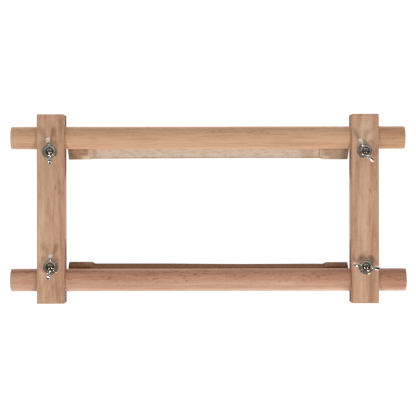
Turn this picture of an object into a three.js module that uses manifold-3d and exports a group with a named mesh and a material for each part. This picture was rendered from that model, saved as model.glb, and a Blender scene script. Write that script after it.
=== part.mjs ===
// Rotating tapestry frame: two split beech side arms, two beech rollers clamped
// in them by bolts and wing nuts, and a webbing tape stapled along each roller.
// Millimetres. +X runs along the rollers, +Y across the frame towards the top
// roller, +Z out of the front face, where the wing nuts are. The origin is the
// middle of the frame on the plane that it lies on.

import * as THREE from 'three';
import { mergeVertices } from 'three/addons/utils/BufferGeometryUtils.js';
import Module from 'manifold-3d';

// ---------------------------------------------------------------- dimensions

// side arms
const ARM_X = 190;             // centre line of each arm
const ARM_WIDTH = 33;
const ARM_LENGTH = 228.6;      // 9 inches
const ARM_THICKNESS = 38;
const ARM_EASE = 1.2;          // eased long edges
const ARM_END_EASE = 0.8;      // eased ends
const MID_Z = ARM_THICKNESS / 2;

// split clamp at each end of an arm
const SLIT_WIDTH = 3.0;        // saw kerf that splits the end of the arm
const RELIEF_D = 11.0;         // drilled hole where the kerf ends
const RELIEF_Y = 42.8;
const ROLLER_Y = 86.4;         // roller axis
const BORE_R = 13.85;
const BOLT_Y = 69.2;
const BOLT_HOLE_R = 3.35;
const HEAD_RECESS_R = 9.0;     // counterbore that lets the bolt head lie below the back face
const HEAD_RECESS_DEPTH = 4.2;
const NECK_POCKET = 6.8;
const NECK_POCKET_DEPTH = 4.4;

// rollers
const ROLLER_R = 13.75;        // 27.5 mm dowel
const TOP_ROLLER_LENGTH = 478.6;
const BOTTOM_ROLLER_LENGTH = 480.3;
const ROLLER_EASE = 1.3;
const ROLLER_SEGMENTS = 64;

// webbing tapes
const TOP_TAPE = [-170.1, 171.8];    // the tape's two ends along the roller
const BOTTOM_TAPE = [-170, 170.8];
const TAPE_THICKNESS = 1.2;
const TAPE_LIFT = 0.12;        // glue line between roller and tape
const TAPE_BAND_END = 93;      // degrees round the roller from the crease side to the raw edge
const TAPE_CREASE = 30;        // degrees from the roller's inner side to the crease
const TOP_FLAP = 13.25;        // free width from the crease to the edge
const BOTTOM_FLAP = 11.5;      // the bottom tape is stapled a little further on
const TOP_FLAP_SLOPE = 37;     // degrees that the flap leans to the back
const BOTTOM_FLAP_SLOPE = 64;  // the bottom tape is creased more sharply
const BOTTOM_TURN = 2;         // degrees that the bottom roller is turned further back

// staples
const STAPLES = 9;
const STAPLE_PITCH = 39.5;
const STAPLE_CROWN = 10.6;
const STAPLE_WIRE = 0.7;       // thickness
const STAPLE_BAND = 1.2;       // width
const STAPLE_LEG = 8.0;
const STAPLE_ANGLE = 62;       // degrees round the roller

// M6 coach bolts, washers and wing nuts
const SHANK_R = 2.95;
const BOLT_END_Z = 48.9;       // 45 mm under the head
const HEAD_R = 8.25;
const HEAD_UNDER_Z = 4.0;
const HEAD_TOP_Z = 0.45;
const NECK = 6.4;
const NECK_DEPTH = 4.0;
const WASHER_R = 9.0;
const WASHER_HOLE_R = 4.1;
const WASHER_T = 1.6;
const SEAT = 0.03;             // air between faces that only touch
const NUT_BORE_R = 3.06;
const NUT_BASE_R = 6.5;
const NUT_TOP_R = 5.5;
const NUT_HUB_H = 8.0;
const NUT_HEIGHT = 17.0;
const NUT_SPAN = 32.0;
const WING_T = 2.3;            // thickness at the hub
const WING_TIP_T = 3.9;        // thickness at the lobe

// where each fastening sits, how its wing nut was left turned, and how far its
// washer lies off the bolt
const CORNERS = [
  { name: 'top_left', side: -1, end: 1, turn: 95.0, washer: [-0.45, -0.75] },
  { name: 'bottom_left', side: -1, end: -1, turn: 83.8, washer: [0.55, -0.6] },
  { name: 'top_right', side: 1, end: 1, turn: 121.1, washer: [-0.95, -0.2] },
  { name: 'bottom_right', side: 1, end: -1, turn: -9.1, washer: [0.1, 0.55] },
];

// ------------------------------------------------------------------- helpers

const wasm = await Module();
wasm.setup();

const rad = (deg) => (deg * Math.PI) / 180;

// a closed solid from a geometry whose duplicate vertices are merged
function solid(geometry) {
  const bare = geometry.index ? geometry.clone() : geometry;
  for (const key of Object.keys(bare.attributes)) if (key !== 'position') bare.deleteAttribute(key);
  const merged = mergeVertices(bare, 1e-4);
  const p = merged.getAttribute('position').array;
  const index = merged.getIndex().array;
  const tris = [];
  let volume = 0;
  for (let i = 0; i < index.length; i += 3) {
    const [a, b, c] = [index[i], index[i + 1], index[i + 2]];
    if (a === b || b === c || c === a) continue;
    tris.push(a, b, c);
    const A = new THREE.Vector3().fromArray(p, a * 3);
    const B = new THREE.Vector3().fromArray(p, b * 3);
    const C = new THREE.Vector3().fromArray(p, c * 3);
    volume += A.dot(B.cross(C));
  }
  if (volume < 0) for (let i = 0; i < tris.length; i += 3) [tris[i + 1], tris[i + 2]] = [tris[i + 2], tris[i + 1]];
  return new wasm.Manifold(new wasm.Mesh({
    numProp: 3,
    vertProperties: new Float32Array(p),
    triVerts: new Uint32Array(tris),
  }));
}

function geometryOf(manifold) {
  const mesh = manifold.getMesh();
  const geometry = new THREE.BufferGeometry();
  geometry.setAttribute('position', new THREE.BufferAttribute(new Float32Array(mesh.vertProperties), 3));
  geometry.setIndex(new THREE.BufferAttribute(new Uint32Array(mesh.triVerts), 1));
  const flat = geometry.toNonIndexed();
  flat.computeVertexNormals();
  return flat;
}

const box = (x0, x1, y0, y1, z0, z1) =>
  new THREE.BoxGeometry(x1 - x0, y1 - y0, z1 - z0).translate((x0 + x1) / 2, (y0 + y1) / 2, (z0 + z1) / 2);

// cylinder along X or Z
const cylinderX = (r, length, segments) => new THREE.CylinderGeometry(r, r, length, segments).rotateZ(Math.PI / 2);
const cylinderZ = (r, length, segments) => new THREE.CylinderGeometry(r, r, length, segments).rotateX(Math.PI / 2);

const latheZ = (points, segments) =>
  new THREE.LatheGeometry(points.map(([r, z]) => new THREE.Vector2(r, z)), segments).rotateX(Math.PI / 2);

function outline(points) {
  const shape = new THREE.Shape();
  points.forEach(([x, y], i) => (i ? shape.lineTo(x, y) : shape.moveTo(x, y)));
  shape.closePath();
  return shape;
}

// ----------------------------------------------------------------- materials

const beech = (color) => new THREE.MeshStandardMaterial({ color, roughness: 0.62, metalness: 0 });
const webbing = () => new THREE.MeshStandardMaterial({ color: 0xcdb699, roughness: 0.95, metalness: 0 });
const zinc = () => new THREE.MeshStandardMaterial({ color: 0xb9b6b0, roughness: 0.28, metalness: 1 });
const wire = () => new THREE.MeshStandardMaterial({ color: 0xa9a9a8, roughness: 0.35, metalness: 1 });

const frame = new THREE.Group();
frame.name = 'rotating_tapestry_frame';

function add(name, geometry, material, parent = frame) {
  const mesh = new THREE.Mesh(geometry, material);
  mesh.name = name;
  parent.add(mesh);
  return mesh;
}

// ----------------------------------------------------------------- side arms

function armGeometry() {
  const w = ARM_WIDTH / 2;
  const t = ARM_THICKNESS / 2;
  const section = new THREE.Shape();
  const e = ARM_END_EASE;
  const r = ARM_EASE;
  const x = w - e;
  const y = t - e;
  section.moveTo(-x + r, -y);
  section.lineTo(x - r, -y);
  section.absarc(x - r, -y + r, r, -Math.PI / 2, 0, false);
  section.lineTo(x, y - r);
  section.absarc(x - r, y - r, r, 0, Math.PI / 2, false);
  section.lineTo(-x + r, y);
  section.absarc(-x + r, y - r, r, Math.PI / 2, Math.PI, false);
  section.lineTo(-x, -y + r);
  section.absarc(-x + r, -y + r, r, Math.PI, 1.5 * Math.PI, false);
  const blank = new THREE.ExtrudeGeometry(section, {
    depth: ARM_LENGTH - 2 * e, curveSegments: 3, steps: 1,
    bevelEnabled: true, bevelThickness: e, bevelSize: e, bevelSegments: 2,
  });
  blank.translate(0, 0, -(ARM_LENGTH - 2 * e) / 2).rotateX(-Math.PI / 2).translate(0, 0, MID_Z);

  let arm = solid(blank);
  for (const end of [1, -1]) {
    const cut = [
      cylinderX(BORE_R, ARM_WIDTH + 10, ROLLER_SEGMENTS).translate(0, end * ROLLER_Y, MID_Z),
      cylinderX(RELIEF_D / 2, ARM_WIDTH + 10, 28).translate(0, end * RELIEF_Y, MID_Z),
      box(-ARM_WIDTH, ARM_WIDTH, Math.min(end * RELIEF_Y, end * (ARM_LENGTH / 2 + 5)),
        Math.max(end * RELIEF_Y, end * (ARM_LENGTH / 2 + 5)), MID_Z - SLIT_WIDTH / 2, MID_Z + SLIT_WIDTH / 2),
      cylinderZ(BOLT_HOLE_R, ARM_THICKNESS + 10, 28).translate(0, end * BOLT_Y, MID_Z),
      cylinderZ(HEAD_RECESS_R, HEAD_RECESS_DEPTH + 5, 36).translate(0, end * BOLT_Y, (HEAD_RECESS_DEPTH - 5) / 2),
      box(-NECK_POCKET / 2, NECK_POCKET / 2, end * BOLT_Y - NECK_POCKET / 2, end * BOLT_Y + NECK_POCKET / 2,
        HEAD_RECESS_DEPTH - 0.5, HEAD_RECESS_DEPTH + NECK_POCKET_DEPTH),
    ];
    for (const piece of cut) arm = arm.subtract(solid(piece));
  }
  return geometryOf(arm);
}

const arm = armGeometry();
add('left_side_arm', arm, beech(0xbd9474)).position.x = -ARM_X;
add('right_side_arm', arm.clone(), beech(0xc09a7b)).position.x = ARM_X;

// --------------------------------------------------------- rollers and tapes

// A roller is made with its axis on X, its tape towards -Y and the back at -Z.
// phi is measured from the -Y side towards the back.
const onRoller = (r, phi) => [-r * Math.cos(rad(phi)), -r * Math.sin(rad(phi))];

// staple cutter and staple, before the turn round the roller: crown on +Y
function stapleShape(spare) {
  const c = STAPLE_CROWN / 2 + spare;
  const inner = STAPLE_CROWN / 2 - STAPLE_WIRE - spare;
  const seat = ROLLER_R + TAPE_LIFT + TAPE_THICKNESS + SEAT;
  const top = seat + STAPLE_WIRE;
  const foot = seat - STAPLE_LEG - (spare ? 0.4 : 0);
  return { c, inner, seat, top, foot };
}

function stapleGeometry() {
  const { c, inner, seat, top, foot } = stapleShape(0);
  const shape = outline([
    [-c, foot + 0.8], [-c + STAPLE_WIRE / 2, foot], [-inner, foot + 0.8], [-inner, seat], [inner, seat],
    [inner, foot + 0.8], [c - STAPLE_WIRE / 2, foot], [c, foot + 0.8], [c, top - 0.3], [c - 0.3, top],
    [-c + 0.3, top], [-c, top - 0.3],
  ]);
  return new THREE.ExtrudeGeometry(shape, { depth: STAPLE_BAND, steps: 1, bevelEnabled: false })
    .translate(0, 0, -STAPLE_BAND / 2);
}

// turns a shape whose crown faces +Y so that it faces the angle phi of the roller
const toPhi = (geometry, phi) => geometry.rotateX(Math.PI + rad(phi));

function legPockets(x, phi) {
  const { c, inner, foot, top } = stapleShape(0.1);
  return [-1, 1].map((s) => toPhi(
    box(Math.min(s * inner, s * c) + x, Math.max(s * inner, s * c) + x, foot, top + 1,
      -STAPLE_BAND / 2 - 0.1, STAPLE_BAND / 2 + 0.1), phi));
}

const stapleX = Array.from({ length: STAPLES }, (_, i) => (i - (STAPLES - 1) / 2) * STAPLE_PITCH);

function rollerGeometry(length) {
  const r = ROLLER_R;
  const e = ROLLER_EASE;
  const h = length / 2;
  const points = [[0, -h], [r - e, -h], [r - e * 0.3, -h + e * 0.3], [r, -h + e],
    [r, h - e], [r - e * 0.3, h - e * 0.3], [r - e, h], [0, h]];
  let roller = solid(new THREE.LatheGeometry(points.map(([a, b]) => new THREE.Vector2(a, b)), ROLLER_SEGMENTS)
    .rotateZ(-Math.PI / 2));
  for (const x of stapleX) for (const pocket of legPockets(x, STAPLE_ANGLE)) roller = roller.subtract(solid(pocket));
  return geometryOf(roller);
}

function tapeGeometry(flap, lean, [start, stop]) {
  const inner = ROLLER_R + TAPE_LIFT;
  const outer = inner + TAPE_THICKNESS;
  const points = [];
  const bandEnd = TAPE_BAND_END + (TOP_FLAP - flap) * (180 / Math.PI / inner);
  // stapled band, roller side, from its raw edge to the crease
  const steps = 8;
  for (let i = 0; i <= steps; i++) points.push(onRoller(inner, bandEnd + (TAPE_CREASE - 4 - bandEnd) * (i / steps)));
  // round the crease
  const slope = [-Math.cos(rad(lean)), -Math.sin(rad(lean))];
  const across = [slope[1] * -1, slope[0]]; // left of the flap, towards the front
  const front = across[1] > 0 ? across : [-across[0], -across[1]];
  const [cy, cz] = onRoller(outer + 0.55, TAPE_CREASE - 2);
  points.push([cy + 0.95 * front[0] + 0.9, cz + 0.95 * front[1] + 0.35]);
  points.push([cy + 0.8 * front[0], cz + 0.8 * front[1]]);
  // front of the flap, its edge and its back
  const end = [cy + flap * slope[0], cz + flap * slope[1]];
  const half = TAPE_THICKNESS / 2;
  points.push([end[0] + half * front[0], end[1] + half * front[1]]);
  points.push([end[0] - half * front[0], end[1] - half * front[1]]);
  points.push([cy + 1.0 * slope[0] - half * front[0], cz + 1.0 * slope[1] - half * front[1]]);
  // stapled band, outer side
  for (let i = 0; i <= steps; i++) points.push(onRoller(outer, TAPE_CREASE + 4 + (bandEnd - TAPE_CREASE - 4) * (i / steps)));
  const tape = new THREE.ExtrudeGeometry(outline(points), { depth: stop - start, steps: 1, bevelEnabled: false });
  // the shape's x is Y, its y is Z and its depth is X
  tape.translate(0, 0, start).applyMatrix4(new THREE.Matrix4().makeBasis(
    new THREE.Vector3(0, 1, 0), new THREE.Vector3(0, 0, 1), new THREE.Vector3(1, 0, 0)));
  let made = solid(tape);
  for (const x of stapleX) for (const pocket of legPockets(x, STAPLE_ANGLE)) made = made.subtract(solid(pocket));
  return geometryOf(made);
}

function rollerSet(name, length, y, turn, flap, lean, ends, mirror, color) {
  const group = new THREE.Group();
  group.position.set(0, y, MID_Z);
  // the bottom roller is the same part turned end for end, so that its tape faces the opening
  group.rotation.set(mirror ? -rad(turn) : rad(turn), 0, mirror ? Math.PI : 0, 'XYZ');
  frame.add(group);
  add(`${name}_roller`, rollerGeometry(length), beech(color), group);
  add(`${name}_tape`, tapeGeometry(flap, lean, mirror ? [-ends[1], -ends[0]] : ends), webbing(), group);
  const staple = stapleGeometry();
  stapleX.forEach((x, i) => {
    const place = mirror ? STAPLES - 1 - i : i;
    add(`${name}_staple_${place + 1}`, toPhi(staple.clone(), STAPLE_ANGLE), wire(), group).position.x = x;
  });
}

rollerSet('top', TOP_ROLLER_LENGTH, ROLLER_Y, 0, TOP_FLAP, TOP_FLAP_SLOPE, TOP_TAPE, false, 0xc9a180);
rollerSet('bottom', BOTTOM_ROLLER_LENGTH, -ROLLER_Y, BOTTOM_TURN, BOTTOM_FLAP, BOTTOM_FLAP_SLOPE, BOTTOM_TAPE, true, 0xc2957a);

// ---------------------------------------------------------------- fastenings

function boltGeometry() {
  const turned = solid(latheZ([
    [0, HEAD_TOP_Z], [3.2, HEAD_TOP_Z + 0.22], [5.6, HEAD_TOP_Z + 0.85], [7.3, HEAD_TOP_Z + 1.85],
    [HEAD_R, HEAD_TOP_Z + 3.1], [HEAD_R, HEAD_UNDER_Z], [SHANK_R, HEAD_UNDER_Z],
    [SHANK_R, BOLT_END_Z - 0.7], [SHANK_R - 0.7, BOLT_END_Z], [0, BOLT_END_Z],
  ], 28));
  const neck = solid(box(-NECK / 2, NECK / 2, -NECK / 2, NECK / 2, HEAD_UNDER_Z - 0.4, HEAD_UNDER_Z + NECK_DEPTH));
  return geometryOf(turned.add(neck));
}

function washerGeometry() {
  return geometryOf(solid(latheZ([
    [WASHER_HOLE_R, 0], [WASHER_R, 0], [WASHER_R, WASHER_T - 0.25], [WASHER_R - 0.3, WASHER_T],
    [WASHER_HOLE_R, WASHER_T], [WASHER_HOLE_R, 0],
  ], 36)));
}

// wing nut standing on z = 0 with its wings along X
function wingNutGeometry() {
  const hub = solid(latheZ([
    [0, 0], [NUT_BASE_R - 0.3, 0], [NUT_BASE_R, 0.4], [NUT_TOP_R + 0.1, NUT_HUB_H - 0.5], [NUT_TOP_R - 0.5, NUT_HUB_H], [0, NUT_HUB_H],
  ], 32));
  const lobeR = 4.1;
  const lobe = [NUT_SPAN / 2 - lobeR, NUT_HEIGHT - lobeR];
  const right = [];
  right.push([4.5, 1.3]);
  right.push([6.6, 1.6]);
  right.push([9.2, 3.1]);
  right.push([12.2, 6.0]);
  right.push([14.6, 8.9]);
  for (let i = 0; i <= 9; i++) {
    const a = rad(-22 + i * 25);
    right.push([lobe[0] + lobeR * Math.cos(a), lobe[1] + lobeR * Math.sin(a)]);
  }
  right.push([6.9, 9.2]);
  right.push([5.0, 6.9]);
  const left = right.map(([x, z]) => [-x, z]).reverse();
  const both = new THREE.ExtrudeGeometry(outline([...right, ...left]), { depth: 1, steps: 1, bevelEnabled: false });
  both.translate(0, 0, -0.5).rotateX(Math.PI / 2);
  // thicken towards the lobes
  const p = both.getAttribute('position');
  for (let i = 0; i < p.count; i++) {
    const k = Math.min(1, Math.max(0, (Math.abs(p.getX(i)) - 7) / 5));
    p.setY(i, p.getY(i) * (WING_T + (WING_TIP_T - WING_T) * k * k * (3 - 2 * k)));
  }
  const bore = cylinderZ(NUT_BORE_R, NUT_HUB_H + 12, 32).translate(0, 0, NUT_HUB_H / 2);
  const mouth = latheZ([[0, NUT_HUB_H - 1.1], [NUT_BORE_R - 0.05, NUT_HUB_H - 1.1], [NUT_BORE_R + 1.05, NUT_HUB_H + 0.1],
    [NUT_BORE_R + 1.05, NUT_HUB_H + 12], [0, NUT_HUB_H + 12]], 32);
  return geometryOf(hub.add(solid(both)).subtract(solid(bore)).subtract(solid(mouth)));
}

const bolt = boltGeometry();
const washer = washerGeometry();
const nut = wingNutGeometry();

for (const { name, side, end, turn, washer: shift } of CORNERS) {
  const corner = new THREE.Group();
  corner.position.set(side * ARM_X, end * BOLT_Y, 0);
  frame.add(corner);
  add(`${name}_coach_bolt`, bolt.clone(), zinc(), corner);
  const ring = add(`${name}_washer`, washer.clone(), zinc(), corner);
  ring.position.set(shift[0], shift[1], ARM_THICKNESS + SEAT);
  const wing = add(`${name}_wing_nut`, nut.clone(), zinc(), corner);
  wing.position.z = ARM_THICKNESS + WASHER_T + 2 * SEAT;
  wing.rotation.z = rad(turn);
}

export default frame;
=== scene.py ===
# Looks of the rotating tapestry frame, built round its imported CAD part.
# Lengths in the tables below are in millimetres, in the part's own frame.

import math
import random

import bmesh
import bpy
import numpy as np
from mathutils import Matrix, Vector


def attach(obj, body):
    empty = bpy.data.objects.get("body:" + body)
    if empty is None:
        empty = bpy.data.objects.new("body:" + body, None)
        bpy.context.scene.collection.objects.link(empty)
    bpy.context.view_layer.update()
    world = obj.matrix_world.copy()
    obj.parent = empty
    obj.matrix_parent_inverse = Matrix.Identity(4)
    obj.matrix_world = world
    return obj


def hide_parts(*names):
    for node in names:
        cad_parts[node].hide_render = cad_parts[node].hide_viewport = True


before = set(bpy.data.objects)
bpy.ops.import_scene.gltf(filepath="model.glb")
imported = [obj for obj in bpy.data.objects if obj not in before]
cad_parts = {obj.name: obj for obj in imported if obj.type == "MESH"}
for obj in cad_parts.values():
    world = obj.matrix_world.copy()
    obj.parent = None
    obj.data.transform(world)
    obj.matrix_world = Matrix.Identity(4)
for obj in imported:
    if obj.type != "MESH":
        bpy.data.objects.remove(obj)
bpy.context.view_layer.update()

MM = 0.001

# ------------------------------------------------------------------ dimensions
# the CAD part's own numbers

ARM_X = 190.0
ARM_HALF_WIDTH = 16.5
ARM_HALF_LENGTH = 114.3
ARM_THICKNESS = 38.0
MID_Z = 19.0
SLIT_HALF = 1.5
RELIEF_R, RELIEF_Y = 5.5, 42.8
BORE_R, ROLLER_Y = 13.85, 86.4
BOLT_Y, BOLT_HOLE_R = 69.2, 3.35
RECESS_R, RECESS_DEPTH = 9.0, 4.2
POCKET, POCKET_DEPTH = 6.8, 4.4

ROLLER_R = 13.75
TOP_ROLLER = (-238.95, 239.3)
BOTTOM_ROLLER = (-239.45, 240.5)
BOTTOM_TURN = 2.0

TOP_TAPE = (-170.2, 171.7)
BOTTOM_TAPE = (-170.0, 170.8)
CLOTH = 1.05
LAYER = 1.15

STAPLES, STAPLE_PITCH, STAPLE_CROWN = 9, 39.5, 10.6
STAPLE_ANGLE = 62.0

SHANK_R, BOLT_END_Z = 2.95, 48.9
HEAD_R, HEAD_UNDER_Z, HEAD_TOP_Z = 8.25, 4.0, 0.45
NECK, NECK_DEPTH = 6.4, 4.0
WASHER_R, WASHER_HOLE_R, WASHER_T = 9.0, 4.1, 1.6
SEAT = 0.03
NUT_HUB_H = 8.0

CORNERS = {
    # side, end, turn of the nut, how far bolt and nut and how far the washer lie off the hole's middle
    "top_left": (-1, 1, 95.0, (-0.18, 0.30), (-0.90, 0.40)),
    "bottom_left": (-1, -1, 83.8, (0.12, -0.10), (0.35, -1.05)),
    "top_right": (1, 1, 121.1, (-0.15, 0.32), (-1.15, 0.75)),
    "bottom_right": (1, -1, -9.1, (0.20, -0.30), (0.75, -1.25)),
}

# ---------------------------------------------------------------- mesh helpers


def mesh_object(name, points, faces, smooth=True):
    """A mesh object from points in millimetres."""
    mesh = bpy.data.meshes.new(name)
    mesh.from_pydata([tuple(float(c) * MM for c in p) for p in points], [], faces)
    mesh.validate()
    mesh.update()
    if smooth:
        mesh.polygons.foreach_set("use_smooth", [True] * len(mesh.polygons))
    obj = bpy.data.objects.new(name, mesh)
    bpy.context.scene.collection.objects.link(obj)
    return obj


def bake_modifiers(obj):
    """Replaces the mesh by what its modifiers make of it."""
    bpy.context.view_layer.update()
    evaluated = obj.evaluated_get(bpy.context.evaluated_depsgraph_get())
    mesh = bpy.data.meshes.new_from_object(evaluated)
    obj.modifiers.clear()
    old, obj.data = obj.data, mesh
    mesh.name = obj.name
    bpy.data.meshes.remove(old)
    return obj


def boolean(obj, tool, operation="DIFFERENCE", keep=False):
    m = obj.modifiers.new("cut", "BOOLEAN")
    m.operation, m.object, m.solver = operation, tool, "EXACT"
    bake_modifiers(obj)
    if not keep:
        data = tool.data
        bpy.data.objects.remove(tool)
        bpy.data.meshes.remove(data)
    return obj


def outward(obj):
    bm = bmesh.new()
    bm.from_mesh(obj.data)
    bmesh.ops.recalc_face_normals(bm, faces=bm.faces)
    bm.to_mesh(obj.data)
    bm.free()
    obj.data.update()
    return obj


def crisp(obj, degrees=32.0, weighted=True):
    """Smooth shading that keeps real edges and flat faces."""
    obj.data.polygons.foreach_set("use_smooth", [True] * len(obj.data.polygons))
    obj.data.set_sharp_from_angle(angle=math.radians(degrees))
    if weighted:
        m = obj.modifiers.new("normals", "WEIGHTED_NORMAL")
        m.keep_sharp = True
        m.weight = 60
        bake_modifiers(obj)
    return obj


def lathe(name, rows, segments, radius=None, close=True):
    """Rows of (r, z) turned round Z. radius(r, z, angle) may change r. The first and last row are capped."""
    points, faces = [], []
    for r, z in rows:
        for k in range(segments):
            a = 2 * math.pi * k / segments
            q = radius(r, z, a) if radius else r
            points.append((q * math.cos(a), q * math.sin(a), z))
    n = segments
    for i in range(len(rows) - 1):
        for k in range(n):
            l = (k + 1) % n
            faces.append((i * n + k, i * n + l, (i + 1) * n + l, (i + 1) * n + k))
    if close == "ring":
        i = len(rows) - 1
        for k in range(n):
            l = (k + 1) % n
            faces.append((i * n + k, i * n + l, l, k))
    elif close:
        for i, flip in ((0, True), (len(rows) - 1, False)):
            middle = len(points)
            points.append((0, 0, rows[i][1]))
            for k in range(n):
                l = (k + 1) % n
                faces.append((middle, i * n + l, i * n + k) if flip else (middle, i * n + k, i * n + l))
    return outward(mesh_object(name, points, faces))


def rounded(points, radii, steps=4):
    """A 2D line whose corners are rounded by a quarter turn each."""
    made = []
    for i, p in enumerate(points):
        r = radii[i] if i < len(radii) else 0
        if not r or i in (0, len(points) - 1):
            made.append(tuple(p))
            continue
        p0, p1, p2 = (np.array(points[j], float) for j in (i - 1, i, i + 1))
        a, b = (p0 - p1) / np.linalg.norm(p0 - p1), (p2 - p1) / np.linalg.norm(p2 - p1)
        half = math.acos(float(np.clip(a @ b, -1, 1))) / 2
        d = r / math.tan(half)
        s, e = p1 + a * d, p1 + b * d
        c = p1 + (a + b) / np.linalg.norm(a + b) * (r / math.sin(half))
        u, v = s - c, e - c
        sweep = math.acos(float(np.clip((u @ v) / (r * r), -1, 1)))
        for k in range(steps + 1):
            t = k / steps
            w = (math.sin((1 - t) * sweep) * u + math.sin(t * sweep) * v) / math.sin(sweep)
            made.append(tuple(c + w))
    return made


def place(obj, matrix):
    obj.data.transform(matrix)
    obj.data.update()
    return obj


def finish_piece(obj, node, body, material):
    """Puts a made piece in the place of a CAD node."""
    obj.name = obj.data.name = "seen_" + node
    obj.data.materials.clear()
    obj.data.materials.append(material)
    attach(obj, body)
    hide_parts(node)
    return obj


# --------------------------------------------------------------- shader helpers


class Graph:
    """Short ways to add shader nodes."""

    def __init__(self, name):
        self.material = bpy.data.materials.new(name)
        self.material.use_nodes = True
        self.tree = self.material.node_tree
        self.tree.nodes.clear()
        out = self.tree.nodes.new("ShaderNodeOutputMaterial")
        self.bsdf = self.tree.nodes.new("ShaderNodeBsdfPrincipled")
        self.tree.links.new(self.bsdf.outputs[0], out.inputs[0])

    def put(self, socket, value):
        if isinstance(value, bpy.types.NodeSocket):
            self.tree.links.new(value, socket)
        else:
            socket.default_value = value

    def node(self, kind, inputs=None, **settings):
        n = self.tree.nodes.new("ShaderNode" + kind)
        for key, value in settings.items():
            setattr(n, key, value)
        for key, value in (inputs or {}).items():
            self.put(n.inputs[key], value)
        return n

    def math(self, operation, *values, clamp=False):
        n = self.tree.nodes.new("ShaderNodeMath")
        n.operation, n.use_clamp = operation, clamp
        for i, value in enumerate(values):
            self.put(n.inputs[i], value)
        return n.outputs[0]

    def add(self, a, b):
        return self.math("ADD", a, b)

    def mul(self, a, b):
        return self.math("MULTIPLY", a, b)

    def step(self, value, low, high, to_low=0.0, to_high=1.0):
        n = self.node("MapRange", {0: value, 1: low, 2: high, 3: to_low, 4: to_high}, interpolation_type="SMOOTHSTEP")
        return n.outputs[0]

    def line(self, value, low, high, to_low=0.0, to_high=1.0):
        n = self.node("MapRange", {0: value, 1: low, 2: high, 3: to_low, 4: to_high})
        return n.outputs[0]

    def mix(self, factor, a, b, blend="MIX"):
        n = self.tree.nodes.new("ShaderNodeMix")
        n.data_type, n.blend_type = "RGBA", blend
        self.put(n.inputs[0], factor)
        self.put(n.inputs[6], a)
        self.put(n.inputs[7], b)
        return n.outputs[2]

    def vector(self, x, y, z):
        return self.node("CombineXYZ", {0: x, 1: y, 2: z}).outputs[0]

    def noise(self, vector, scale=1.0, detail=2.0, rough=0.5, distortion=0.0):
        n = self.node("TexNoise", {"Vector": vector, "Scale": scale, "Detail": detail, "Roughness": rough, "Distortion": distortion})
        return n.outputs[0]

    def ramp(self, value, stops, mode="LINEAR"):
        n = self.node("ValToRGB", {0: value})
        n.color_ramp.interpolation = mode
        e = n.color_ramp.elements
        while len(e) < len(stops):
            e.new(0.5)
        for item, (at, colour) in zip(e, stops):
            item.position = at
            item.color = (*colour, 1.0) if len(colour) == 3 else colour
        return n.outputs[0]


def srgb(text):
    """Linear colour from a hexadecimal one."""
    c = [int(text[i:i + 2], 16) / 255 for i in (0, 2, 4)]
    return tuple(v / 12.92 if v <= 0.04045 else ((v + 0.055) / 1.055) ** 2.4 for v in c)


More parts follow.
